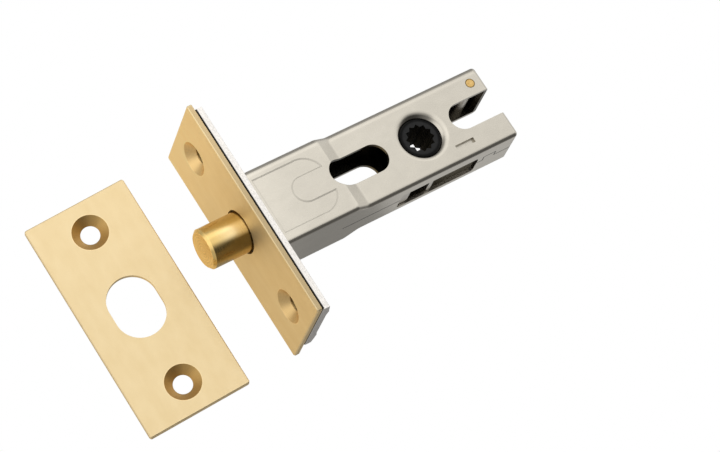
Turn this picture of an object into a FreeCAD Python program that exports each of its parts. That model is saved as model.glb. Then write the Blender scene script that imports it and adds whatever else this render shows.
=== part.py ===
import FreeCAD, Part
import math
import os

# Privacy bolt with its strike plate. Millimetres. The origin is on the bolt's axis, at the front
# face of the forend cover. +Y runs into the door, +Z is up along the forend, +X is the side whose
# broad case face shows the hub. The bolt is thrown, so it stands out towards -Y.

os.makedirs("parts", exist_ok=True)

# Forend cover and strike plate: two pressed brass plates of one outline
plate_length = 57.0
plate_width = 26.0
plate_thickness = 1.2
plate_corner = 0.6
plate_edge = 0.25
screw_spacing = 41.5
screw_hole_diameter = 4.6
countersink_diameter = 8.6
dimple_land = 0.2
dimple_wall = 1.8

# Bolt and its throw
bolt_diameter = 10.0
bolt_projection = 10.2
bolt_throw = 10.0
bolt_chamfer = 0.6
bolt_hole_clearance = 0.5
guide_clearance = 0.08
guide_length = 5.2
tail_gap = 0.3
tail_plate_thickness = 1.8
tail_plate_width = 9.2
tail_plate_above = 5.5
spigot_diameter = 5.0
spigot_head_diameter = 6.4
spigot_head_height = 0.6

# Forend tray: nickel-plated steel behind the cover
tray_length = 55.8
tray_half_width = 10.2
tray_side = 2.1
tray_web = 2.4
tray_ridge = 2.75
tray_ridge_outer = 6.6
tray_ridge_inner = 5.0
tray_round = 0.75
tray_screw_hole = 5.0

# Case: two pressed half shells; their bends are sharp on the inside
sheet = 0.85
case_height = 20.0
front_half_thickness = 8.2
rear_half_thickness = 6.2
shoulder_start = 24.5
shoulder_end = 28.1
shoulder_round = 2.0
case_end = 70.8
bend_radius = 1.0
seam_gap = 0.16
seam_start = 21.9
lock_start = 61.9
lock_length = 3.4
lock_height = 1.7
tab_width = 5.0
tab_spacing = 11.0
tab_proud = 0.2
relief_depth = 0.25
relief_start = 5.9
relief_half_height = 7.1
relief_arc_start = 16.5
relief_tip = 22.1
relief_notch = 12.6
relief_notch_radius = 3.4
relief_bulge = 0.9
relief_slope = 0.3
pocket_start = 54.8
pocket_length = 5.2
pocket_height = 1.3
pocket_centre = -6.45
pocket_depth = 0.8
pocket_wall = 0.5

# Through fixing at 38 mm centres, 19 mm each side of the hub
backset = 49.0
front_slot_radius = 3.6
front_slot_from_hub = 22.4
front_slot_to_hub = 13.5
far_slot_longer = 0.9
rear_slot_radius = 3.5
rear_slot_from_hub = 12.0

# Hub, turned by a 5 mm square spindle at any 30 degree step
socket_square = 5.1
hub_diameter = 10.4
hub_core_diameter = 12.2
hub_clearance = 0.06
hub_below_face = 1.2
hub_edge = 0.35
hub_core_half = 3.85
detent_flat = 5.7
dish_diameter = 13.3
dish_depth = 1.4
hub_turn = 90.0
arm_tip_radius = 2.45
arm_clearance = 0.275
arm_start = -3.4
arm_end = -0.5

# Tail strip with the fork that the hub's arm moves
strip_inner = 0.6
strip_outer = 3.9
strip_top = -6.4
strip_bottom = -8.7
fork_top = -6.3
fork_bottom = -9.5
fork_side = -3.5
fork_near_side = 1.7
fork_rear_thickness = 1.2
fork_front_length = 2.9
fork_round = 0.9

# Window in the lower wall of both shells that lets the fork and the arm pass
window_front = 38.1
window_length = 22.1
window_far_side = -3.9
window_near_side = 2.3
window_round = 0.8

# Detent leaf, rear rivet and its spacer
leaf_thickness = 0.4
leaf_width = 5.0
leaf_half_length = 6.6
leaf_clearance = 0.1
rivet_diameter = 2.4
rivet_from_end = 3.4
rivet_height = 6.5
spacer_diameter = 3.1
spacer_clearance = 0.05

# Strike plate, apart from the bolt as the photo shows it
strike_hole_width = 12.0
strike_hole_length = 15.4
strike_turn = 80.0
strike_x = -9.35
strike_y = -27.5
strike_z = -2.15

# How far a cutter runs past what it cuts: a little, or clear of the whole part
past = 1.0
beyond = 100.0

# Sizes that follow from the ones above
half_height = case_height / 2
inner_height = half_height - sheet
screw_radius = screw_hole_diameter / 2
sink_radius = countersink_diameter / 2
sink_depth = sink_radius - screw_radius
tray_front = sink_depth + dimple_land
tray_back = tray_front + tray_web
bolt_radius = bolt_diameter / 2
guide_start = tray_front + tray_ridge
guide_end = guide_start + guide_length
tail_front = guide_end + tail_gap
tail_back = tail_front + tail_plate_thickness
arm_reach = bolt_throw / (2 * math.sin(math.radians(hub_turn / 2)))
fork_centre = backset - bolt_throw / 2
fork_half_gap = arm_tip_radius + arm_clearance
rivet_y = case_end - rivet_from_end
shoulder_angle = math.atan2(front_half_thickness - rear_half_thickness, shoulder_end - shoulder_start)


def vec(x, y, z):
    return FreeCAD.Vector(x, y, z)


def box(x0, x1, y0, y1, z0, z1):
    """A block between two values on each axis."""
    return Part.makeBox(x1 - x0, y1 - y0, z1 - z0, vec(x0, y0, z0))


def cylinder_x(radius, x0, x1, y, z):
    return Part.makeCylinder(radius, x1 - x0, vec(x0, y, z), vec(1, 0, 0))


def cylinder_y(radius, y0, y1, x=0.0, z=0.0):
    return Part.makeCylinder(radius, y1 - y0, vec(x, y0, z), vec(0, 1, 0))


def rounded_outline(corners, place):
    """A closed face from corners (u, v, radius); place turns (u, v) into a point in space."""
    count = len(corners)
    starts = []
    ends = []
    middles = []
    for index in range(count):
        here = vec(corners[index][0], corners[index][1], 0)
        before = vec(corners[index - 1][0], corners[index - 1][1], 0)
        after_corner = corners[(index + 1) % count]
        after = vec(after_corner[0], after_corner[1], 0)
        radius = corners[index][2]
        to_before = (before - here).normalize()
        to_after = (after - here).normalize()
        half = to_before.getAngle(to_after) / 2
        if radius > 0:
            setback = radius / math.tan(half)
            bisector = (to_before + to_after).normalize()
            middle = here + bisector * (radius / math.sin(half) - radius)
            starts.append(here + to_before * setback)
            ends.append(here + to_after * setback)
            middles.append(middle)
        else:
            starts.append(here)
            ends.append(here)
            middles.append(None)
    edges = []
    for index in range(count):
        if middles[index] is not None:
            points = [place(p.x, p.y) for p in (starts[index], middles[index], ends[index])]
            edges.append(Part.Arc(*points).toShape())
        following = starts[(index + 1) % count]
        if (following - ends[index]).Length > 1e-6:
            first = place(ends[index].x, ends[index].y)
            second = place(following.x, following.y)
            edges.append(Part.makeLine(first, second))
    return Part.Face(Part.Wire(edges))


def obround_x(x0, x1, y0, y1, z, radius):
    """A slot cutter through the broad faces, with round ends centred at y0 and y1."""
    slot = box(x0, x1, y0, y1, z - radius, z + radius)
    slot = slot.fuse(cylinder_x(radius, x0, x1, y0, z))
    return slot.fuse(cylinder_x(radius, x0, x1, y1, z))


def dimpled_plate():
    """The brass plate of the cover and the strike: front face at y = 0, and two sunk dimples."""
    half_w = plate_width / 2
    half_l = plate_length / 2
    corners = [(-half_w, -half_l, plate_corner), (half_w, -half_l, plate_corner),
               (half_w, half_l, plate_corner), (-half_w, half_l, plate_corner)]
    face = rounded_outline(corners, lambda u, v: vec(u, 0, v))
    plate = face.extrude(vec(0, plate_thickness, 0))
    front_edges = [e for e in plate.Edges if e.BoundBox.YMax < 1e-4]
    plate = plate.makeChamfer(plate_edge, front_edges)
    back = sink_depth + dimple_land
    for side in (-1, 1):
        z = side * screw_spacing / 2
        plate = plate.fuse(cylinder_y(screw_radius + dimple_wall, plate_thickness / 2, back, 0, z))
    for side in (-1, 1):
        z = side * screw_spacing / 2
        plate = plate.cut(cylinder_y(screw_radius, -past, back + past, 0, z))
        sink = Part.makeCone(sink_radius + past, screw_radius, sink_depth + past, vec(0, -past, z),
                             vec(0, 1, 0))
        plate = plate.cut(sink)
    return plate.removeSplitter()


def make_cover():
    hole = cylinder_y(bolt_radius + bolt_hole_clearance, -past, plate_thickness + past)
    return dimpled_plate().cut(hole)


def make_strike():
    """The strike plate with its long bolt hole, turned and moved to where it stands."""
    radius = strike_hole_width / 2
    reach = strike_hole_length / 2 - radius
    back = plate_thickness + past
    hole = box(-radius, radius, -past, back, -reach, reach)
    for side in (-1, 1):
        hole = hole.fuse(cylinder_y(radius, -past, back, 0, side * reach))
    strike = dimpled_plate().cut(hole).removeSplitter()
    strike.rotate(vec(0, 0, 0), vec(0, 0, 1), strike_turn)
    strike.translate(vec(strike_x, strike_y, strike_z))
    return strike


def tab_cutters(grow):
    """The four case tabs that pass through the tray, grown on every side for their slots."""
    cutters = []
    for side in (-1, 1):
        for end in (-1, 1):
            middle = end * tab_spacing / 2
            inner = side * (front_half_thickness - sheet - grow)
            outer = side * (front_half_thickness + grow)
            low = middle - tab_width / 2 - grow
            high = middle + tab_width / 2 + grow
            cutters.append(box(min(inner, outer), max(inner, outer), tray_front - tab_proud,
                               tray_back + past, low, high))
    return cutters


def make_tray():
    """The steel plate behind the cover: rounded front edges and two low ridges on the back."""
    front = tray_front
    w = tray_half_width
    half = [(w, front, 0), (w, front + tray_side, 0.2),
            (tray_ridge_outer, front + tray_ridge, 0.2), (tray_ridge_inner, front + tray_web, 0)]
    mirrored = [(-x, y, r) for x, y, r in reversed(half)]
    corners = half + mirrored
    face = rounded_outline(corners, lambda u, v: vec(u, v, -tray_length / 2))
    tray = face.extrude(vec(0, 0, tray_length))
    front_edges = [e for e in tray.Edges if e.BoundBox.YMax < front + 1e-3]
    tray = tray.makeFillet(tray_round, front_edges)
    tray = tray.cut(cylinder_y(bolt_radius + bolt_hole_clearance, front - past, tray_back + past))
    for side in (-1, 1):
        z = side * screw_spacing / 2
        tray = tray.cut(cylinder_y(tray_screw_hole / 2, front - past, tray_back + past, 0, z))
    for cutter in tab_cutters(0.0):
        tray = tray.cut(cutter)
    return tray


def case_block(inset, y_front, bend):
    """The case as a solid, inset by the sheet thickness for its hollow; thick in front, thin behind."""
    shift = inset * math.tan(shoulder_angle / 2)
    wide = front_half_thickness - inset
    thin = rear_half_thickness - inset
    end = case_end - inset
    first = shoulder_start - shift
    second = shoulder_end - shift
    half = [(y_front, wide, 0), (first, wide, shoulder_round - inset * 0.8),
            (second, thin, shoulder_round + inset), (end, thin, 0)]
    mirrored = [(y, -x, r) for y, x, r in reversed(half)]
    height = half_height - inset
    face = rounded_outline(half + mirrored, lambda u, v: vec(v, u, -height))
    block = face.extrude(vec(0, 0, 2 * height))
    if bend == 0:
        return block
    edges = []
    for edge in block.Edges:
        b = edge.BoundBox
        flat_z = b.ZMax - b.ZMin < 1e-4
        along_end = b.YMin > end - 1e-3
        at_front = b.YMax < y_front + 1e-3
        if (flat_z or along_end) and not at_front:
            edges.append(edge)
    return block.makeFillet(bend, edges)


def relief_cutter():
    """The shallow panel pressed into a broad face, notched for the fixing slot, with sloped sides."""
    h = relief_half_height
    r = relief_notch_radius
    x = front_half_thickness - relief_depth
    notch = relief_notch + r
    mid_y = (relief_arc_start + relief_tip) / 2 + relief_bulge
    mid_z = (h + r) / 2 + relief_bulge

    def arc(y0, z0, y1, z1, y2, z2):
        return Part.Arc(vec(x, y0, z0), vec(x, y1, z1), vec(x, y2, z2)).toShape()

    def line(y0, z0, y1, z1):
        return Part.makeLine(vec(x, y0, z0), vec(x, y1, z1))

    edges = [line(relief_start, -h, relief_start, h), line(relief_start, h, relief_arc_start, h),
             arc(relief_arc_start, h, mid_y, mid_z, relief_tip, r), line(relief_tip, r, notch, r),
             arc(notch, r, relief_notch, 0, notch, -r), line(notch, -r, relief_tip, -r),
             arc(relief_tip, -r, mid_y, -mid_z, relief_arc_start, -h),
             line(relief_arc_start, -h, relief_start, -h)]
    floor = Part.Wire(edges)
    mouth = floor.makeOffset2D(relief_slope, 2)
    mouth.translate(vec(relief_depth, 0, 0))
    cutter = Part.makeLoft([floor, mouth], True)
    return cutter.fuse(Part.Face(mouth).extrude(vec(past, 0, 0)))


def hub_dish():
    """The ring of sheet drawn inwards round the hub's hole on the +X face, steepest at the hole."""
    hole = hub_diameter / 2 + hub_clearance
    rim = dish_diameter / 2
    face_x = rear_half_thickness

    def at(r, depth):
        return vec(face_x - depth, backset, r)

    short = 1 - math.sqrt(0.5)
    break_point = at(hole + (rim - hole) * short, dish_depth * short)
    back = dish_depth + sheet
    profile = [at(rim, 0), break_point, at(hole, dish_depth), at(hole, back), at(rim, sheet), at(rim, 0)]
    face = Part.Face(Part.makePolygon(profile))
    return face.revolve(vec(0, backset, 0), vec(1, 0, 0), 360)


def window_cutter():
    """The window in the lower wall, with rounded corners."""
    end = window_front + window_length
    corners = [(window_near_side, window_front, window_round), (window_near_side, end, window_round),
               (window_far_side, end, window_round), (window_far_side, window_front, window_round)]
    face = rounded_outline(corners, lambda u, v: vec(u, v, -half_height - past))
    return face.extrude(vec(0, 0, sheet + past + seam_gap))


def make_case(tray):
    """The whole pressed case, before it is parted into its two shells."""
    hollow = case_block(sheet, tray_front - past, 0)
    case = case_block(0, tray_front + tray_side, bend_radius).cut(hollow)
    wide = front_half_thickness + past
    slot_start = backset - front_slot_from_hub
    slot_end = backset - front_slot_to_hub
    case = case.cut(obround_x(0, wide, slot_start, slot_end, 0, front_slot_radius))
    case = case.cut(obround_x(-wide, 0, slot_start, slot_end + far_slot_longer, 0, front_slot_radius))
    rear_start = backset + rear_slot_from_hub
    case = case.cut(obround_x(-wide, wide, rear_start, beyond, 0, rear_slot_radius))
    case = case.cut(window_cutter())
    case = case.cut(cylinder_x(dish_diameter / 2, -wide, wide, backset, 0))
    dish = hub_dish()
    relief = relief_cutter()
    centre = vec(0, 0, 0)
    for side in (0, 1):
        turned_dish = dish.copy()
        turned_relief = relief.copy()
        turned_dish.rotate(centre, vec(0, 1, 0), 180 * side)
        turned_relief.rotate(centre, vec(0, 1, 0), 180 * side)
        case = case.fuse(turned_dish).cut(turned_relief)
    case = case.cut(cylinder_x(rivet_diameter / 2, -wide, wide, rivet_y, rivet_height))
    case = case.cut(tray)
    for tab in tab_cutters(0.0):
        case = case.fuse(tab)
    return case.removeSplitter()


def right_mask():
    """The space that holds the +X shell: its half, the lower front wall and the seam's steps."""
    far = beyond
    slack = seam_gap / 2
    reach = front_half_thickness - bend_radius
    lock_end = lock_start + lock_length
    mask = box(slack, far, seam_start, far, -far, far)
    mask = mask.fuse(box(0, far, -far, seam_start, -far, far))
    mask = mask.cut(box(-far, reach, -far, seam_start, inner_height, far))
    mask = mask.fuse(box(-reach, past, -far, seam_start, -far, -inner_height))
    for z0, z1 in ((-far, -inner_height), (inner_height, far)):
        step = box(-past, lock_height + slack, lock_start - slack, lock_end + slack, z0, z1)
        mask = mask.cut(step)
    return mask


def left_mask():
    """The space that holds the -X shell, with the two tabs that lock into the other one."""
    far = beyond
    slack = seam_gap / 2
    reach = front_half_thickness - bend_radius
    lock_end = lock_start + lock_length
    mask = box(-far, -slack, seam_start, far, -far, far)
    mask = mask.fuse(box(-far, 0, -far, seam_start, -far, far))
    mask = mask.cut(box(-reach, far, -far, seam_start, -far, -inner_height))
    mask = mask.fuse(box(-past, reach, -far, seam_start, inner_height, far))
    for z0, z1 in ((-far, -inner_height), (inner_height, far)):
        step = box(-past, lock_height - slack, lock_start + slack, lock_end - slack, z0, z1)
        mask = mask.fuse(step)
    return mask


def make_right_shell(case):
    """The +X shell, with the pocket pressed into its lower prong."""
    shell = case.common(right_mask())
    face_x = rear_half_thickness
    floor = face_x - pocket_depth
    y1 = pocket_start + pocket_length
    z0 = pocket_centre - pocket_height / 2
    z1 = pocket_centre + pocket_height / 2
    w = pocket_wall
    shell = shell.fuse(box(floor - w, face_x - sheet / 2, pocket_start - w, y1 + w, z0 - w, z1 + w))
    shell = shell.cut(box(floor, face_x + past, pocket_start, y1, z0, z1))
    return shell.removeSplitter()


def make_left_shell(case):
    """The -X shell, with the tabs that lock into the other one."""
    return case.common(left_mask()).removeSplitter()


def make_guide():
    """The nylon block behind the tray, filling the case round the bolt."""
    wide = front_half_thickness - sheet
    block = box(-wide, wide, guide_start, guide_end, -inner_height, inner_height)
    return block.cut(cylinder_y(bolt_radius + guide_clearance, guide_start - past, guide_end + past))


def make_bolt():
    """The brass bolt with its spigot, headed over behind the tail plate."""
    bolt = cylinder_y(bolt_radius, -bolt_projection, tail_front)
    front = [e for e in bolt.Edges if e.BoundBox.YMax < -bolt_projection + 1e-4]
    bolt = bolt.makeChamfer(bolt_chamfer, front)
    bolt = bolt.fuse(cylinder_y(spigot_diameter / 2, tail_front - past, tail_back))
    head = cylinder_y(spigot_head_diameter / 2, tail_back, tail_back + spigot_head_height)
    return bolt.fuse(head).removeSplitter()


def make_tail():
    """The steel tail: plate on the bolt, strip past the fixing slot, and the fork at the hub."""
    half = tail_plate_width / 2
    tail = box(-half, half, tail_front, tail_back, strip_bottom, tail_plate_above)
    tail = tail.cut(cylinder_y(spigot_diameter / 2, tail_front - past, tail_back + past))
    rear_face = fork_centre + fork_half_gap
    strip_end = rear_face + fork_rear_thickness
    strip_start = (tail_front + tail_back) / 2
    tail = tail.fuse(box(strip_inner, strip_outer, strip_start, strip_end, strip_bottom, strip_top))
    front_face = fork_centre - fork_half_gap
    lugs = ((front_face - fork_front_length, front_face, fork_round),
            (rear_face, strip_end, fork_rear_thickness * 0.3))
    for y0, y1, corner in lugs:
        corners = [(fork_near_side, y0, corner), (fork_near_side, y1, corner),
                   (fork_side, y1, corner), (fork_side, y0, corner)]
        face = rounded_outline(corners, lambda u, v: vec(u, v, fork_bottom))
        tail = tail.fuse(face.extrude(vec(0, 0, fork_top - fork_bottom)))
    return tail.removeSplitter()


def make_hub():
    """The nylon hub: two journals, a core with detent flats, the arm and the star socket."""
    journal = rear_half_thickness - hub_below_face
    hub = cylinder_x(hub_core_diameter / 2, -hub_core_half, hub_core_half, backset, 0)
    far = hub_core_diameter
    hub = hub.cut(box(-far, far, backset - far, backset + far, detent_flat, far))
    hub = hub.cut(box(-far, far, backset + detent_flat, backset + far, -far, far))
    barrel = cylinder_x(hub_diameter / 2, -journal, journal, backset, 0)
    rims = [e for e in barrel.Edges if e.BoundBox.XLength < 1e-4]
    hub = hub.fuse(barrel.makeChamfer(hub_edge, rims))
    arm = box(arm_start, arm_end, backset - arm_tip_radius, backset + arm_tip_radius, -arm_reach, 0)
    arm = arm.fuse(cylinder_x(arm_tip_radius, arm_start, arm_end, backset, -arm_reach))
    arm.rotate(vec(0, backset, 0), vec(1, 0, 0), -hub_turn / 2)
    hub = hub.fuse(arm)
    half = socket_square / 2
    for step in range(3):
        square = box(-far, far, backset - half, backset + half, -half, half)
        square.rotate(vec(0, backset, 0), vec(1, 0, 0), 30 * step)
        hub = hub.cut(square)
    return hub.removeSplitter()


def make_leaf():
    """The bowed steel leaf over the hub; its ends bear on the case's upper wall."""
    low = hub_core_diameter / 2 + leaf_clearance
    top = inner_height
    half = leaf_half_length
    x = -leaf_width / 2

    def arc(rise, shorter):
        left = vec(x, backset - half + shorter, top)
        right = vec(x, backset + half - shorter, top)
        return Part.Arc(left, vec(x, backset, low + rise), right).toShape()

    under = arc(0, 0)
    over = arc(leaf_thickness, leaf_thickness * 1.3)
    left = Part.makeLine(under.valueAt(under.FirstParameter), over.valueAt(over.FirstParameter))
    right = Part.makeLine(over.valueAt(over.LastParameter), under.valueAt(under.LastParameter))
    face = Part.Face(Part.Wire([under, right, over, left]))
    return face.extrude(vec(leaf_width, 0, 0))


def make_rivet():
    return cylinder_x(rivet_diameter / 2, -rear_half_thickness, rear_half_thickness, rivet_y, rivet_height)


def make_spacer():
    """The sleeve on the rivet that keeps the shells apart."""
    half = rear_half_thickness - sheet
    sleeve = cylinder_x(spacer_diameter / 2, -half, half, rivet_y, rivet_height)
    bore = rivet_diameter / 2 + spacer_clearance
    return sleeve.cut(cylinder_x(bore, -half - past, half + past, rivet_y, rivet_height))


tray_shape = make_tray()
case_shape = make_case(tray_shape)
nodes = {
    "forend_cover": make_cover(),
    "forend_tray": tray_shape,
    "case_shell_right": make_right_shell(case_shape),
    "case_shell_left": make_left_shell(case_shape),
    "bolt_guide": make_guide(),
    "bolt_nose": make_bolt(),
    "bolt_tail": make_tail(),
    "hub": make_hub(),
    "detent_leaf": make_leaf(),
    "rear_rivet": make_rivet(),
    "rear_spacer": make_spacer(),
    "strike_plate": make_strike(),
}
for name, shape in nodes.items():
    if len(shape.Solids) == 1:
        shape = shape.Solids[0]
    shape.exportStep("parts/" + name + ".step")
    print(name, "solids", len(shape.Solids), "volume", round(shape.Volume, 2), "valid", shape.isValid())
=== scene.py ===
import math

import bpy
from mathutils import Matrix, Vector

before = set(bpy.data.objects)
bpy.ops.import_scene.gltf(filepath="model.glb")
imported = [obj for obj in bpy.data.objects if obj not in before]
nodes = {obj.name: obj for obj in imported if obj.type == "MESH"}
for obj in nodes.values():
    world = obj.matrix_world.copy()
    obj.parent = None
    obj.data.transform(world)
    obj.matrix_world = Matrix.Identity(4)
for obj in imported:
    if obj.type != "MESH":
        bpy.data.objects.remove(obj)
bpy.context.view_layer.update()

# %% [markdown]
# The frame of CAD pieces is in place: a privacy bolt and its strike plate, twelve pieces in all.
# Blender could add pieces to them, but the CAD has every form of this product, so the scene only
# gives each piece its finish and then lights it.

print("CAD pieces", len(nodes))

# %% [markdown]
# The camera stands where the photographer's stood. It could be aimed by eye, but its place and turn
# were worked out by fitting the edges of the product to the picture, so it is set as a matrix, whose
# columns are the picture's right, its up and the way back to the camera. The lens follows from the
# fitted focal length, and the shift puts the picture's true centre where the fit found it.

# %% Camera
image_width = 720
image_height = 452
focal_pixels = 2844.86
picture_centre = (349.28, 216.72)
picture_right = Vector((0.221069, 0.820795, -0.526711))
picture_down = Vector((-0.430628, -0.402419, -0.807848))
picture_depth = Vector((-0.875036, 0.405407, 0.264495))
camera_place = Vector((0.574174, -0.241049, -0.181657))

camera_data = bpy.data.cameras.new("photo_camera")
camera_data.sensor_width = 36.0
camera_data.lens = focal_pixels / image_width * camera_data.sensor_width
camera_data.shift_x = (image_width / 2 - picture_centre[0]) / image_width
camera_data.shift_y = (picture_centre[1] - image_height / 2) / image_width
camera_data.clip_start = 0.01
camera_data.clip_end = 50.0
camera = bpy.data.objects.new("photo_camera", camera_data)
turn = Matrix((picture_right, -picture_down, -picture_depth)).transposed()
camera.matrix_world = Matrix.Translation(camera_place) @ turn.to_4x4()
bpy.context.scene.collection.objects.link(camera)
bpy.context.scene.camera = camera
print("camera with a lens of", round(camera_data.lens, 1), "mm")


# %% [markdown]
# A finish is a small graph of nodes. This helper adds one node. Its settings are the choices in the
# node's own menus. Its inputs are given by name, with _ for a space, or as i and a number where
# several inputs share a name. An output of another node is linked, and any other value is typed in.

# %% One node
def node(tree, kind, settings=None, **inputs):
    """Adds a node of this kind, with its settings and its inputs."""
    made = tree.nodes.new(kind)
    for key, value in (settings or {}).items():
        setattr(made, key, value)
    for key, value in inputs.items():
        numbered = key[0] == "i" and key[1:].isdigit()
        socket = made.inputs[int(key[1:]) if numbered else key.replace("_", " ")]
        if isinstance(value, bpy.types.NodeSocket):
            tree.links.new(value, socket)
        else:
            socket.default_value = value
    return made


# %% [markdown]
# Every finish starts from the object's own coordinates, turned into millimetres, so that each
# pattern has its real scale, stays on its piece when the piece moves, and can be aimed at a real
# place, such as the hub's axis. An unwrapped map could carry a pattern too, but it would have to be
# cut open somewhere, and the pattern would break at the cut.

# %% A new material
def start_material(name):
    """A new material, its tree, its shader, and the object's coordinates in millimetres."""
    material = bpy.data.materials.new(name)
    material.use_nodes = True
    tree = material.node_tree
    place = node(tree, "ShaderNodeTexCoord").outputs["Object"]
    millimetres = (1000, 1000, 1000)
    scaled = node(tree, "ShaderNodeMapping", Vector=place, Scale=millimetres).outputs["Vector"]
    return material, tree, tree.nodes["Principled BSDF"], scaled


# %% [markdown]
# Where a finish changes, at an edge, in a hole or along a seam, a mask is worked out: a number that
# is 0 away from that place and 1 on it, with a smooth step between. Masks are multiplied where both
# must hold. These helpers are the sums that the masks are made of, one node each.

# %% Sums on numbers
def sums(tree, operation, first, second=0.0):
    return node(tree, "ShaderNodeMath", {"operation": operation}, i0=first, i1=second).outputs["Value"]


def plus(tree, first, second):
    return sums(tree, "ADD", first, second)


def minus(tree, first, second):
    return sums(tree, "SUBTRACT", first, second)


def times(tree, first, second, third=None):
    product = sums(tree, "MULTIPLY", first, second)
    return product if third is None else times(tree, product, third)


def unsigned(tree, value):
    return sums(tree, "ABSOLUTE", value)


def larger(tree, first, second):
    return sums(tree, "MAXIMUM", first, second)


def between(tree, value, low, high):
    """Stretches a value of 0 to 1 over low to high."""
    return node(tree, "ShaderNodeMapRange", Value=value, i3=low, i4=high).outputs["Result"]


def share(tree, value, none_at, all_at):
    """Goes smoothly from 0 where the value is none_at to 1 where it is all_at."""
    smooth = {"interpolation_type": "SMOOTHSTEP"}
    low = min(none_at, all_at)
    high = max(none_at, all_at)
    rising = node(tree, "ShaderNodeMapRange", smooth, Value=value, i1=low, i2=high).outputs["Result"]
    return rising if none_at < all_at else minus(tree, 1.0, rising)


# %% [markdown]
# A place or a direction is three numbers at once. These take it apart, put it together, measure it
# and stretch it. A colour is three numbers too, so the last of them also makes colours lighter or
# darker.

# %% Sums on places and colours
def parts_of(tree, vector):
    """The three numbers of a vector."""
    return node(tree, "ShaderNodeSeparateXYZ", Vector=vector).outputs[:3]


def arrow(tree, x, y, z):
    """A vector made of three numbers."""
    return node(tree, "ShaderNodeCombineXYZ", X=x, Y=y, Z=z).outputs["Vector"]


def joined(tree, operation, first, second):
    """A vector made of two vectors."""
    made = node(tree, "ShaderNodeVectorMath", {"operation": operation}, i0=first, i1=second)
    return made.outputs["Vector"]


def length(tree, vector):
    """The square root of the sum of the three numbers' squares."""
    made = node(tree, "ShaderNodeVectorMath", {"operation": "LENGTH"}, i0=vector)
    return made.outputs["Value"]


def scaled_by(tree, vector, factor):
    """A vector or a colour times a number."""
    made = node(tree, "ShaderNodeVectorMath", {"operation": "SCALE"}, i0=vector, Scale=factor)
    return made.outputs["Vector"]


def toned(tree, colour, mask, factor):
    """The colour, times the factor where the mask is 1."""
    return scaled_by(tree, colour, between(tree, mask, 1.0, factor))


# %% [markdown]
# Real metal is never one flat colour: it is clouded, brushed or turned. Noise stands for all three.
# It is drawn out along the axes where its scale is small, which makes brushing out of grain. A ramp
# gives its lows and highs their colours, and a blend lays one colour over another.

# %% Patterns and colours
def noise(tree, place, scale, size=1.0, detail=3.0):
    moved = node(tree, "ShaderNodeMapping", Vector=place, Scale=scale).outputs["Vector"]
    return node(tree, "ShaderNodeTexNoise", Vector=moved, Scale=size, Detail=detail).outputs["Fac"]


def rings_of(tree, distance, rings_per_mm, waver=0.0):
    """A sine of the distance: evenly spaced rings, moved by a waver."""
    turns = times(tree, distance, 2 * math.pi * rings_per_mm)
    return sums(tree, "SINE", plus(tree, turns, waver))


def ramp(tree, value, low_at, low_colour, high_at, high_colour):
    """Goes from one colour, where the value is low_at, to another, where it is high_at."""
    made = node(tree, "ShaderNodeValToRGB", Fac=value)
    low, high = made.color_ramp.elements
    low.position = low_at
    low.color = (*low_colour, 1)
    high.position = high_at
    high.color = (*high_colour, 1)
    return made.outputs["Color"]


def mixed(tree, amount, first, second):
    """The first colour, with the second laid over it by the amount."""
    first = (*first, 1) if isinstance(first, tuple) else first
    second = (*second, 1) if isinstance(second, tuple) else second
    colours = {"data_type": "RGBA"}
    return node(tree, "ShaderNodeMix", colours, i0=amount, i6=first, i7=second).outputs[2]


# %% [markdown]
# Fine relief changes how light leaves a surface without changing its shape. A bump node does this
# for grain, at its true depth in thousandths of a millimetre. Where a bend is rounder on the real
# piece than on the solid, the normal is leant over by vectors that the finish works out.

# %% Relief and metal
def tilted(tree, leans):
    """The surface's normal plus some vectors, brought back to a length of 1."""
    normal = node(tree, "ShaderNodeNewGeometry").outputs["Normal"]
    for lean in leans:
        normal = joined(tree, "ADD", normal, lean)
    return joined(tree, "NORMALIZE", normal, (0, 0, 0))


def bumped(tree, height, strength, micrometres, normal=None):
    """Lifts the surface by the height, at most by so many thousandths of a millimetre."""
    metres = micrometres * 1e-6
    made = node(tree, "ShaderNodeBump", Strength=strength, Distance=metres, Height=height)
    if normal is not None:
        tree.links.new(normal, made.inputs["Normal"])
    return made.outputs["Normal"]


def metal(tree, shader, colour, rough, normal):
    """Joins a colour, a roughness and a normal to a bare metal shader."""
    tree.links.new(colour, shader.inputs["Base Color"])
    tree.links.new(rough, shader.inputs["Roughness"])
    tree.links.new(normal, shader.inputs["Normal"])
    shader.inputs["Metallic"].default_value = 1.0


def dress(name, material):
    """Gives a CAD piece its finish."""
    mesh = nodes[name].data
    mesh.materials.clear()
    mesh.materials.append(material)
    print(name, "is finished in", material.name)


# %% [markdown]
# Satin brass. The cover and the strike are blanked from sheet and tumbled to an even satin, with a
# hint of brushing along their length, so their grain is noise drawn out along Z. Their arrises are
# worn a little brighter. The sheared sides are duller, and painted shade darkens them further. The
# plates are painted lighter towards their top: painted light that changes slowly along Z.

# %% Satin brass: sizes and colours
screw_offset = 20.75
sink_radius = 4.3
plate_half_width = 13.0
plate_half_length = 28.5
worn_width = 0.35
cut_rings_per_mm = 26 / (2 * math.pi)
brass_dull = (0.85, 0.68, 0.395)
brass_clear = (0.89, 0.725, 0.44)
brass_worn = (0.93, 0.80, 0.55)
print("countersinks", 2 * sink_radius, "mm across,", 2 * screw_offset, "mm apart")


# %% [markdown]
# The strike is the cover's plate with a longer hole, set down elsewhere and turned. A Mapping node
# of the Texture kind takes its coordinates back to the cover's, so that one finish serves both.

# %% Where the strike plate stands
strike_place = (-9.35, -27.5, -2.15)
strike_turn = math.radians(80)


def as_on_cover(tree, place, moved):
    made = node(tree, "ShaderNodeMapping", {"vector_type": "TEXTURE"}, Vector=place, Location=moved,
                Rotation=(0, 0, strike_turn))
    return made.outputs["Vector"]
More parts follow.
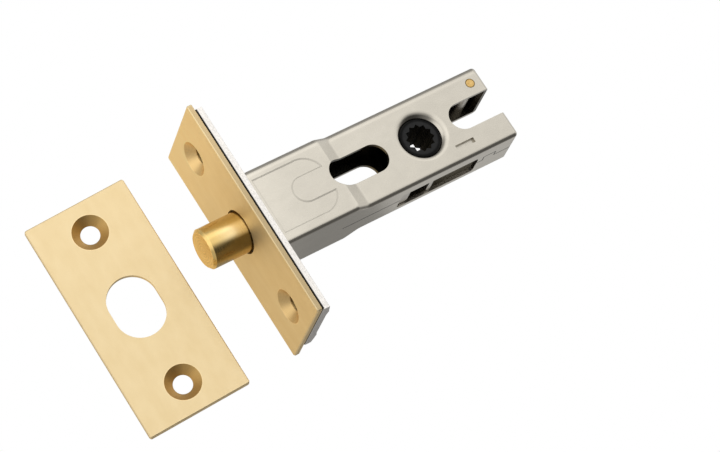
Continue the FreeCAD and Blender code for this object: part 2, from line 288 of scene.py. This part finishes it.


# %% [markdown]
# The countersinks were cut after the tumbling. They are bare and turned, and their deeper colour is
# a painted reflection of each side of the cone in the other. A sine of the distance from the screw's
# axis draws the tool's rings. The rim that the cutter left gets a painted highlight, a bright line.

# %% Satin brass on the plates
def satin_brass(name, sink_colour_and_reflection, painted_light_low, painted_light_top, moved=None):
    material, tree, shader, place = start_material(name)
    if moved:
        place = as_on_cover(tree, place, moved)
    x, y, z = parts_of(tree, place)
    side = unsigned(tree, x)
    up = unsigned(tree, z)
    from_screw = length(tree, arrow(tree, x, minus(tree, up, screw_offset), 0.0))

    in_sink = share(tree, from_screw, sink_radius + 0.05, sink_radius - 0.05)
    side_edge = share(tree, side, plate_half_width - worn_width, plate_half_width)
    end_edge = share(tree, up, plate_half_length - worn_width, plate_half_length)
    edge = larger(tree, side_edge, end_edge)
    rim_highlight = times(tree, share(tree, from_screw, sink_radius + 0.3, sink_radius + 0.02),
                share(tree, from_screw, sink_radius - 0.1, sink_radius))
    sheared_with_shade = share(tree, side, plate_half_width - 0.05, plate_half_width - 0.01)

    grain = noise(tree, place, (1, 1, 0.55), 7.0)
    mottle = noise(tree, place, (1, 1, 0.5), 0.35)
    rings = rings_of(tree, from_screw, cut_rings_per_mm)

    plate = ramp(tree, mottle, 0.3, brass_dull, 0.7, brass_clear)
    plate = scaled_by(tree, plate, between(tree, grain, 0.96, 1.04))
    plate = mixed(tree, times(tree, edge, 0.35), plate, brass_worn)
    # Painted reflection: the countersinks' deeper colour stands for each side of the cone mirrored in
    # the other.
    sink_with_reflection = scaled_by(tree, arrow(tree, *sink_colour_and_reflection), between(tree, rings, 0.93, 1.07))
    colour = mixed(tree, in_sink, plate, sink_with_reflection)
    # Painted highlight: a bright line on the countersinks' rim.
    colour = toned(tree, colour, rim_highlight, 1.12)
    # Painted shade darkens the sheared sides.
    colour = toned(tree, colour, sheared_with_shade, 0.84)
    # Painted light: the plates grow lighter towards their top.
    upwards = share(tree, z, -4.0, 27.0)
    colour = scaled_by(tree, colour, between(tree, upwards, painted_light_low, painted_light_top))

    rough = minus(tree, between(tree, grain, 0.50, 0.62), times(tree, in_sink, 0.12))
    rough = larger(tree, rough, times(tree, edge, 0.8))
    height = plus(tree, grain, times(tree, rings, in_sink, 0.8))
    metal(tree, shader, colour, rough, bumped(tree, height, 0.35, 8))
    return material


dress("forend_cover", satin_brass("cover_brass", (0.80, 0.56, 0.25), 0.98, 1.16))
dress("strike_plate", satin_brass("strike_brass", (0.60, 0.395, 0.145), 1.02, 1.05, strike_place))

# %% [markdown]
# The bolt is turned from bar, so its marks run round it: fine lines on its side, which is noise
# drawn out across Y, and rings on its face, which are a sine of the distance from the axis, with a
# slow noise added so that they waver as a blunt tool's do.

# %% Turned brass: sizes and colours
bolt_front = -10.2
face_rings_per_mm = 9 / (2 * math.pi)
bolt_dull = (0.74, 0.50, 0.165)
bolt_clear = (0.83, 0.59, 0.23)
bolt_glint = (1.0, 0.79, 0.43)
shade_angle = -44
glint_angle = -6
print("the bolt's face is at", bolt_front, "mm")


# %% [markdown]
# Such lines spread each reflection along the bar, so on the real bolt a dark and a pale band run
# all the way to the cover, where a plain shader mirrors the cover instead. An anisotropic shader
# could spread them, but a mask by the angle round the bar is simpler and is sure to stay in place.

# %% Turned brass on the bolt
def towards(tree, x, z, degrees, begins, ends):
    """The share by which a point on a bar round Y nears a line along it, at an angle from +X."""
    angle = math.radians(degrees)
    across = plus(tree, times(tree, x, math.cos(angle)), times(tree, z, math.sin(angle)))
    out = length(tree, arrow(tree, x, 0.0, z))
    return share(tree, sums(tree, "DIVIDE", across, out), begins, ends)


def turned_brass():
    material, tree, shader, place = start_material("turned_brass")
    x, y, z = parts_of(tree, place)
    out = length(tree, arrow(tree, x, 0.0, z))
    on_face = share(tree, y, bolt_front + 0.1, bolt_front + 0.03)
    on_side = share(tree, y, bolt_front + 0.5, bolt_front + 0.7)
    rim_highlight = times(tree, share(tree, y, bolt_front + 0.75, bolt_front + 0.6), share(tree, out, 4.3, 4.45))
    near_cover = share(tree, y, bolt_front + 1.0, -1.5)
    shade = times(tree, towards(tree, x, z, shade_angle, 0.84, 0.98), on_side)
    glint = times(tree, towards(tree, x, z, glint_angle, 0.91, 0.995), on_side)

    lines = noise(tree, place, (0.03, 1.0, 0.03), 9.0)
    stain = noise(tree, place, (1, 0.4, 1), 0.5)
    waver = times(tree, noise(tree, place, (1, 1, 1), 0.6, 2.0), 3.0)
    rings = times(tree, rings_of(tree, out, face_rings_per_mm, waver), on_face)

    colour = ramp(tree, stain, 0.3, bolt_dull, 0.7, bolt_clear)
    colour = scaled_by(tree, colour, between(tree, rings, 0.90, 1.06))
    # Painted highlight on the chamfered rim, and the face painted lighter than the side.
    colour = toned(tree, colour, rim_highlight, 1.22)
    colour = toned(tree, colour, on_face, 1.14)
    colour = toned(tree, colour, shade, 0.52)
    colour = toned(tree, colour, times(tree, shade, near_cover), 0.72)
    colour = mixed(tree, times(tree, glint, near_cover), colour, bolt_glint)
    rough = between(tree, lines, 0.20, 0.31)
    height = plus(tree, lines, times(tree, rings, 0.6))
    metal(tree, shader, colour, rough, bumped(tree, height, 0.3, 8))
    return material


dress("bolt_nose", turned_brass())

# %% [markdown]
# The rivet is a short brass wire, peened over until it fills its hole. The hammer leaves it dented,
# which is noise, and its rim sinks a little into the sheet. The dark line round it is painted shade:
# darker brass close to the rim, worked out from the distance to the rivet's axis.

# %% Hammered brass on the rivet
rivet_axis_y = 67.4
rivet_axis_z = 6.5
rivet_dull = (0.50, 0.31, 0.10)
rivet_clear = (0.68, 0.47, 0.19)


def rivet_brass():
    material, tree, shader, place = start_material("rivet_brass")
    x, y, z = parts_of(tree, place)
    across = arrow(tree, 0.0, minus(tree, y, rivet_axis_y), minus(tree, z, rivet_axis_z))
    crevice_shade = share(tree, length(tree, across), 0.88, 1.06)
    dents = noise(tree, place, (1, 1, 1), 2.2)
    colour = ramp(tree, dents, 0.35, rivet_dull, 0.7, rivet_clear)
    # Painted shade where the rim sinks into the sheet.
    colour = toned(tree, colour, crevice_shade, 0.28)
    metal(tree, shader, colour, between(tree, dents, 0.30, 0.45), bumped(tree, dents, 0.5, 30))
    return material


dress("rear_rivet", rivet_brass())


# %% [markdown]
# Nickel over pressed steel is warm grey and a little cloudy, with the faint grain of rolled sheet
# and tiny pits. Cloud, grain and pits are noise at three sizes. The steel pieces inside share this
# finish in other colours, so it is one function that gives back all that a piece may still change.

# %% Plated and plain sheet
def sheet_metal(name, colour, rough_low, rough_high):
    """A material, its tree, shader and place, and the sheet's colour, roughness and grain."""
    material, tree, shader, place = start_material(name)
    cloud = noise(tree, place, (1, 0.6, 1), 0.45, 4.0)
    grain = noise(tree, place, (1.0, 0.25, 1.0), 6.0)
    pits = share(tree, noise(tree, place, (1, 1, 1), 5.0, 2.0), 0.66, 0.74)
    clouded = tuple(0.955 * c for c in colour)
    tint = ramp(tree, cloud, 0.35, clouded, 0.65, colour)
    tint = scaled_by(tree, tint, between(tree, grain, 0.97, 1.03))
    tint = toned(tree, tint, pits, 0.92)
    rough = between(tree, grain, rough_low, rough_high)
    return material, tree, shader, place, tint, rough, grain


# %% [markdown]
# Round the hub's hole the sheet is drawn inwards like the mouth of a bell. The solid has this as
# two cones. More facets could round it, but leaning the normal towards the hub's axis, more and
# more on the way to the hole, makes one smooth curve of them at no cost.

# %% The dish round the hub
hub_y = 49.0
hub_hole_radius = 5.26
dish_radius = 7.3
dish_steepness = 4.6
dish_sharpness = 2.6
rear_half_thickness = 6.2


def in_dish(tree, x, from_hub):
    """1 on the dish and its rim, and 0 on the rest of the case and in the hole itself."""
    outside = share(tree, unsigned(tree, x), rear_half_thickness - 1.6, rear_half_thickness - 1.5)
    past_hole = share(tree, from_hub, hub_hole_radius + 0.005, hub_hole_radius + 0.02)
    return times(tree, past_hole, outside, share(tree, from_hub, dish_radius, dish_radius - 0.05))


def dish_lean(tree, outward, along, z, from_hub):
    """A lean of the normal towards the hub's axis, and outwards so that the cones don't show."""
    curve = share(tree, from_hub, dish_radius, hub_hole_radius - 0.3)
    lean = times(tree, sums(tree, "POWER", curve, dish_sharpness), -dish_steepness)
    from_axis = arrow(tree, 0.0, sums(tree, "DIVIDE", along, from_hub),
                      sums(tree, "DIVIDE", z, from_hub))
    out = arrow(tree, times(tree, outward, 4.0), 0.0, 0.0)
    return joined(tree, "ADD", scaled_by(tree, from_axis, lean), out)


# %% [markdown]
# The top of the dish gets painted shade and its rear a painted highlight, as if one mirrored the
# shade below the bolt and the other a bright card. Both are crescents that fade out before the flat
# face, so they are masks by direction from the hub's axis, times a mask by distance.

# %% Light and dark in the dish
crescent_middle = (0.38, 0.925)


def dish_painted_light(tree, along, z, from_hub, drawn):
    """A factor for the colour: painted shade under 1 in the top of the dish, painted highlight over 1
    at its rear.
    """
    upwards = plus(tree, times(tree, along, crescent_middle[0]), times(tree, z, crescent_middle[1]))
    top = share(tree, sums(tree, "DIVIDE", upwards, from_hub), 0.70, 0.96)
    top = times(tree, top, share(tree, from_hub, 6.5, 5.9))
    rear = share(tree, sums(tree, "DIVIDE", along, from_hub), 0.72, 0.97)
    rear = times(tree, rear, share(tree, from_hub, 7.0, 6.4))
    tone = times(tree, between(tree, top, 1.0, 0.52), between(tree, rear, 1.0, 1.25))
    change = times(tree, minus(tree, tone, 1.0), drawn)
    return plus(tree, change, 1.0)


# %% [markdown]
# A press also rounds the walls of the relief panel and the long upper bend. Each is found by where
# it lies: the walls between the panel's floor and the face, the bend above a height.

# %% Softened walls and bend
front_half_thickness = 8.2
relief_floor = 7.95


def wall_lean(tree, outward, deep, z):
    """Leans the relief's walls outwards, so that they catch the light of the face beside them."""
    wall = times(tree, share(tree, deep, relief_floor, relief_floor + 0.02),
                 share(tree, deep, front_half_thickness, front_half_thickness - 0.02))
    wall = times(tree, wall, share(tree, unsigned(tree, z), 8.9, 8.8))
    return arrow(tree, times(tree, outward, wall), 0.0, 0.0)


def bend_lean(tree, z):
    """Leans the upper bend upwards, more and more from below it to its middle."""
    return arrow(tree, 0.0, 0.0, times(tree, share(tree, z, 7.9, 9.4), 0.36))


# %% [markdown]
# Hardly any light reaches the inside of the case, so the photograph shows it nearly black. Pale
# nickel there would still mirror the sky through the openings, so the inner walls get a dark colour.
# They are found by their depth under the outer faces, and the front slots by the distance from
# their middle line. The slot is longer in the far face.

# %% The dark inside
inside_colour = (0.11, 0.096, 0.068)
slot_start = 26.6
slot_end = 35.5
far_slot_end = 36.4
slot_radius = 3.6


def to_slot(tree, y, z, start, end):
    """How far a point is from the middle line of a slot, which runs along Y."""
    beyond = larger(tree, minus(tree, start, y), minus(tree, y, end))
    return length(tree, arrow(tree, 0.0, larger(tree, beyond, 0.0), z))


def in_slot(tree, y, z, end):
    """1 on the walls of a front slot that ends there."""
    away = to_slot(tree, y, z, slot_start, end)
    return share(tree, away, slot_radius + 0.04, slot_radius + 0.01)


def inside_case(tree, x, y, z, deep, from_hub):
    """1 on the inner faces of the sheet and on the walls of the front slots."""
    rear = times(tree, share(tree, deep, rear_half_thickness - 0.82, rear_half_thickness - 0.86),
                 share(tree, from_hub, 6.6, 6.7))
    front = times(tree, share(tree, deep, front_half_thickness - 0.82, front_half_thickness - 0.86),
                  share(tree, y, 24.4, 24.3))
    inner = times(tree, larger(tree, rear, front), share(tree, unsigned(tree, z), 9.18, 9.14))
    near = times(tree, in_slot(tree, y, z, slot_end), share(tree, x, 0.0, 0.1))
    far = times(tree, in_slot(tree, y, z, far_slot_end), share(tree, x, 0.0, -0.1),
                share(tree, y, 35.0, 36.5))
    return larger(tree, larger(tree, inner, near), far)


# %% [markdown]
# The two halves of the case meet in a seam along the narrow sides, with a step where one locks into
# the other. The sheared edges along it hold dirt and mirror each other, so the seam shows as a dark
# line wider than its gap. The mask is the distance to that line: the run of the seam, moved
# over between the two walls of the step, or those walls themselves.

# %% The seam
seam_from = 21.9
lock_start = 61.9
lock_end = 65.3
lock_height = 1.7
line_out = 0.24
line_in = 0.12


def along_seam(tree, x, y, z):
    """1 beside the seam on the narrow sides of the case."""
    in_lock = times(tree, share(tree, y, lock_start - 0.01, lock_start + 0.01),
                    share(tree, y, lock_end + 0.01, lock_end - 0.01))
    to_run = unsigned(tree, minus(tree, x, times(tree, in_lock, lock_height)))
    to_step = sums(tree, "MINIMUM", unsigned(tree, minus(tree, y, lock_start)),
                   unsigned(tree, minus(tree, y, lock_end)))
    beside_step = times(tree, share(tree, x, -0.12, -0.08),
                        share(tree, x, lock_height + 0.12, lock_height + 0.08))
    step = times(tree, share(tree, to_step, line_out, line_in), beside_step)
    line = larger(tree, share(tree, to_run, line_out, line_in), step)
    on_side = share(tree, unsigned(tree, z), 9.9, 9.97)
    return times(tree, line, on_side, share(tree, y, seam_from - 0.1, seam_from))


# %% [markdown]
# Now the case's finish is put together. Its colour also changes slowly along the case, because in
# the photograph the front is nearer to the light than the rear.

# %% Nickel plate on the case
nickel = (0.545, 0.51, 0.44)


def case_finish():
    material, tree, shader, place, colour, rough, grain = sheet_metal("case_nickel", nickel, 0.24, 0.34)
    x, y, z = parts_of(tree, place)
    outward = sums(tree, "SIGN", x)
    deep = unsigned(tree, x)
    along = minus(tree, y, hub_y)
    from_hub = length(tree, arrow(tree, 0.0, along, z))
    drawn = in_dish(tree, x, from_hub)

    colour = mixed(tree, inside_case(tree, x, y, z, deep, from_hub), colour, inside_colour)
    # Painted shade at the top of the dish and a painted highlight at its rear.
    colour = scaled_by(tree, colour, dish_painted_light(tree, along, z, from_hub, drawn))
    colour = toned(tree, colour, along_seam(tree, x, y, z), 0.30)
    colour = toned(tree, colour, share(tree, y, 16.0, 6.0), 1.09)
    colour = toned(tree, colour, share(tree, y, 32.0, 58.0), 0.94)

    dish = scaled_by(tree, dish_lean(tree, outward, along, z, from_hub), drawn)
    leans = [dish, wall_lean(tree, outward, deep, z), bend_lean(tree, z)]
    metal(tree, shader, colour, rough, bumped(tree, grain, 0.3, 12, tilted(tree, leans)))
    return material


case_nickel = case_finish()
for name in ("case_shell_right", "case_shell_left"):
    dress(name, case_nickel)

# %% [markdown]
# The tray is thicker and its edges are sheared, so they are streaked across and paler. Where it
# backs the cover it lies in deep shade, and the photograph shows that gap as a black line. The
# walls of its screw holes are seen through the cover's, and mirror their brass.

# %% Nickel plate on the tray
tray_nickel = (0.78, 0.75, 0.71)
hole_painted_reflection = (0.36, 0.25, 0.10)
gap_begins = 3.0
gap_ends = 2.8


def tray_finish():
    material, tree, shader, place, colour, rough, grain = sheet_metal("tray_nickel", tray_nickel,
                                                                      0.34, 0.46)
    x, y, z = parts_of(tree, place)
    up = unsigned(tree, z)
    at_end = share(tree, up, 27.7, 27.88)
    gap = share(tree, plus(tree, y, between(tree, at_end, 0.0, 0.5)), gap_begins, gap_ends)
    in_hole = share(tree, length(tree, arrow(tree, x, minus(tree, up, screw_offset), 0.0)), 2.7, 2.6)
    streaks = noise(tree, place, (1.5, 1.5, 0.5), 4.2, 4.0)
    colour = scaled_by(tree, colour, between(tree, share(tree, streaks, 0.30, 0.62), 0.82, 1.10))
    colour = toned(tree, colour, gap, 0.03)
    # Painted reflection: the hole walls take the cover's brass colour.
    colour = mixed(tree, in_hole, colour, hole_painted_reflection)
    height = plus(tree, streaks, times(tree, grain, 0.3))
    metal(tree, shader, colour, rough, bumped(tree, height, 0.5, 60))
    return material


dress("forend_tray", tray_finish())

# %% [markdown]
# The tail, its spacer and the spring leaf are inside the case. They are plain rolled steel, the
# leaf darker from its hardening, so the sheet's own finish is enough for them.

# %% Plain steel inside
tail_colour = (0.58, 0.55, 0.50)
leaf_colour = (0.35, 0.35, 0.35)


def plain_finish(name, colour, rough_low, rough_high):
    material, tree, shader, place, tint, rough, grain = sheet_metal(name, colour, rough_low, rough_high)
    metal(tree, shader, tint, rough, bumped(tree, grain, 0.3, 15))
    return material


tail_steel = plain_finish("tail_steel", tail_colour, 0.32, 0.46)
for name in ("bolt_tail", "rear_spacer"):
    dress(name, tail_steel)
dress("detent_leaf", plain_finish("leaf_steel", leaf_colour, 0.30, 0.42))

# %% [markdown]
# Black nylon, as it comes from the mould: nearly black, with a soft sheen and a very fine grain. The
# ring round the socket catches some light, the chamfered rim outside it turns away and goes black,
# and so does the socket, which light hardly enters. The tint of the highlight changes with the
# distance from the hub's axis, and inside the socket it is almost gone.

# %% Black nylon
nylon_dark = (0.003, 0.003, 0.003)
nylon_worn = (0.007, 0.0068, 0.0066)
ring_gloss = 0.40
rim_gloss = 0.06
socket_radius = 3.65
hub_face = 4.99


def nylon():
    material, tree, shader, place = start_material("black_nylon")
    x, y, z = parts_of(tree, place)
    from_hub = length(tree, arrow(tree, 0.0, minus(tree, y, hub_y), z))
    outer = share(tree, from_hub, 4.0, 4.6)
    under_face = share(tree, unsigned(tree, x), hub_face, hub_face - 0.04)
    socket = times(tree, share(tree, from_hub, socket_radius + 0.1, socket_radius), under_face)
    grain = noise(tree, place, (1.0, 1.0, 1.0), 8.0, 2.0)
    wear = noise(tree, place, (1.0, 1.0, 1.0), 0.9)

    shade = ramp(tree, wear, 0.3, nylon_dark, 0.75, nylon_worn)
    gloss = minus(tree, between(tree, outer, ring_gloss, rim_gloss), times(tree, socket, 0.38))
    rough = plus(tree, between(tree, grain, 0.26, 0.38), times(tree, socket, 0.5))
    tree.links.new(shade, shader.inputs["Base Color"])
    tree.links.new(arrow(tree, gloss, gloss, gloss), shader.inputs["Specular Tint"])
    tree.links.new(rough, shader.inputs["Roughness"])
    tree.links.new(bumped(tree, grain, 0.3, 10), shader.inputs["Normal"])
    return material


black_nylon = nylon()
for name in ("hub", "bolt_guide"):
    dress(name, black_nylon)

# %% [markdown]
# The bolt is held up as a door would hold it, so nothing stands on the floor. The floor is one
# plain pale sheet well below it. The metal doesn't mirror the floor, because in the photograph it
# mirrors white cards.

# %% Floor
floor_height = -0.30
floor_half = 2.0
floor_grey = (0.85, 0.85, 0.85, 1)

floor_mesh = bpy.data.meshes.new("studio_floor")
corners = [(-floor_half, -floor_half), (floor_half, -floor_half),
           (floor_half, floor_half), (-floor_half, floor_half)]
floor_mesh.from_pydata([(x, y, floor_height) for x, y in corners], [], [(0, 1, 2, 3)])
floor = bpy.data.objects.new("studio_floor", floor_mesh)
bpy.context.scene.collection.objects.link(floor)
floor_paper = bpy.data.materials.new("floor_paper")
floor_paper.use_nodes = True
paper_shader = floor_paper.node_tree.nodes["Principled BSDF"]
paper_shader.inputs["Base Color"].default_value = floor_grey
paper_shader.inputs["Roughness"].default_value = 0.9
floor_mesh.materials.append(floor_paper)
floor.visible_glossy = False
print("floor at", floor_height, "m")

# %% [markdown]
# Bare metal looks like what it mirrors, so the light matters as much as the finish. Cards and dark
# screens could be built round the product, but each would have to be found by trial. Here the sky
# itself does their work: it is an even grey that grows brighter or darker as a direction nears the
# one that a face of the product mirrors. Those directions follow from the camera's and the face's.

# %% The sky
world = bpy.data.worlds.new("studio")
bpy.context.scene.world = world
world.use_nodes = True
sky = world.node_tree
background = sky.nodes["Background"]
background.inputs["Strength"].default_value = 1.0
direction = node(sky, "ShaderNodeTexCoord").outputs["Generated"]


def facing(toward, begins, ends):
    """The share by which a direction nears toward; begins and ends are cosines."""
    settings = {"operation": "DOT_PRODUCT"}
    toward = Vector(toward).normalized()
    near = node(sky, "ShaderNodeVectorMath", settings, i0=direction, i1=toward).outputs["Value"]
    return share(sky, near, begins, ends)


def lobe(before, toward, begins, ends, strength):
    """Adds light, or takes it away, as a direction nears toward."""
    return plus(sky, before, times(sky, facing(toward, begins, ends), strength))


# %% [markdown]
# Each lobe below is named by what mirrors it, and gives the cosines between which it grows and its
# strength. Last comes a colour: the cover's front and the bolt's end are warmer in the photograph
# than the strike, so the side of the room that they mirror is warm.

# %% Light by direction
lobes = (
    ("the case's broad face and the strike", (0.93, 0.20, 0.27), 0.60, 0.94, 0.70),
    ("the shoulder's slope", (0.12, 0.95, 0.26), 0.60, 0.95, 0.56),
    ("the lower bend", (0.22, 0.40, -0.89), 0.55, 0.90, -0.36),
    ("the upper bend", (-0.26, 0.40, 0.87), 0.60, 0.95, -0.08),
    ("the rear of the dish", (0.40, -0.87, 0.26), 0.75, 0.97, 0.75),
    ("the case's under side", (-0.90, 0.30, -0.35), 0.70, 0.96, -0.16),
    ("the low walls of the cover's countersinks", (-0.86, 0.30, 0.42), 0.90, 0.99, 0.60),
)
warm_side = (-0.87, -0.42, 0.24)
warm_light = (0.84, 0.70, 0.47)

room = 0.50
for mirrored_by, toward, begins, ends, strength in lobes:
    room = lobe(room, toward, begins, ends, strength)
    print("light of", strength, "is mirrored by", mirrored_by)
room = mixed(sky, facing(warm_side, 0.60, 0.92), room, warm_light)

# %% [markdown]
# The camera itself sees white paper behind the product, as in the photograph, so its own rays get
# plain white. The Standard view keeps that white and the metal's colours as they are.

# %% White paper behind the product
white = (1.0, 1.0, 1.0)
seen_by_camera = node(sky, "ShaderNodeLightPath").outputs["Is Camera Ray"]
sky.links.new(mixed(sky, seen_by_camera, room, white), background.inputs["Color"])
bpy.context.scene.view_settings.view_transform = "Standard"


# %% [markdown]
# Two lamps add what the sky can't. The key card stands far off, above and on the side of the broad
# face, and gives soft shadows. A small card below the rear of the case, on its far side, lights the
# inside a little through the window, as the white paper does in the photograph.

# %% Cards
def card(name, place, aim, size, power):
    """A soft square lamp at a place, facing its aim."""
    lamp = bpy.data.lights.new(name, "AREA")
    lamp.shape = "SQUARE"
    lamp.size = size
    lamp.energy = power
    made = bpy.data.objects.new(name, lamp)
    made.location = place
    made.rotation_euler = (Vector(aim) - Vector(place)).to_track_quat("-Z", "Y").to_euler()
    bpy.context.scene.collection.objects.link(made)
    print(name, "at", place)


card("key_card", (0.5, 0.25, 0.35), (0, 0.02, 0), 0.3, 0.12)
card("table_card", (-0.075, 0.098, -0.042), (0, 0.062, -0.010), 0.05, 0.003)
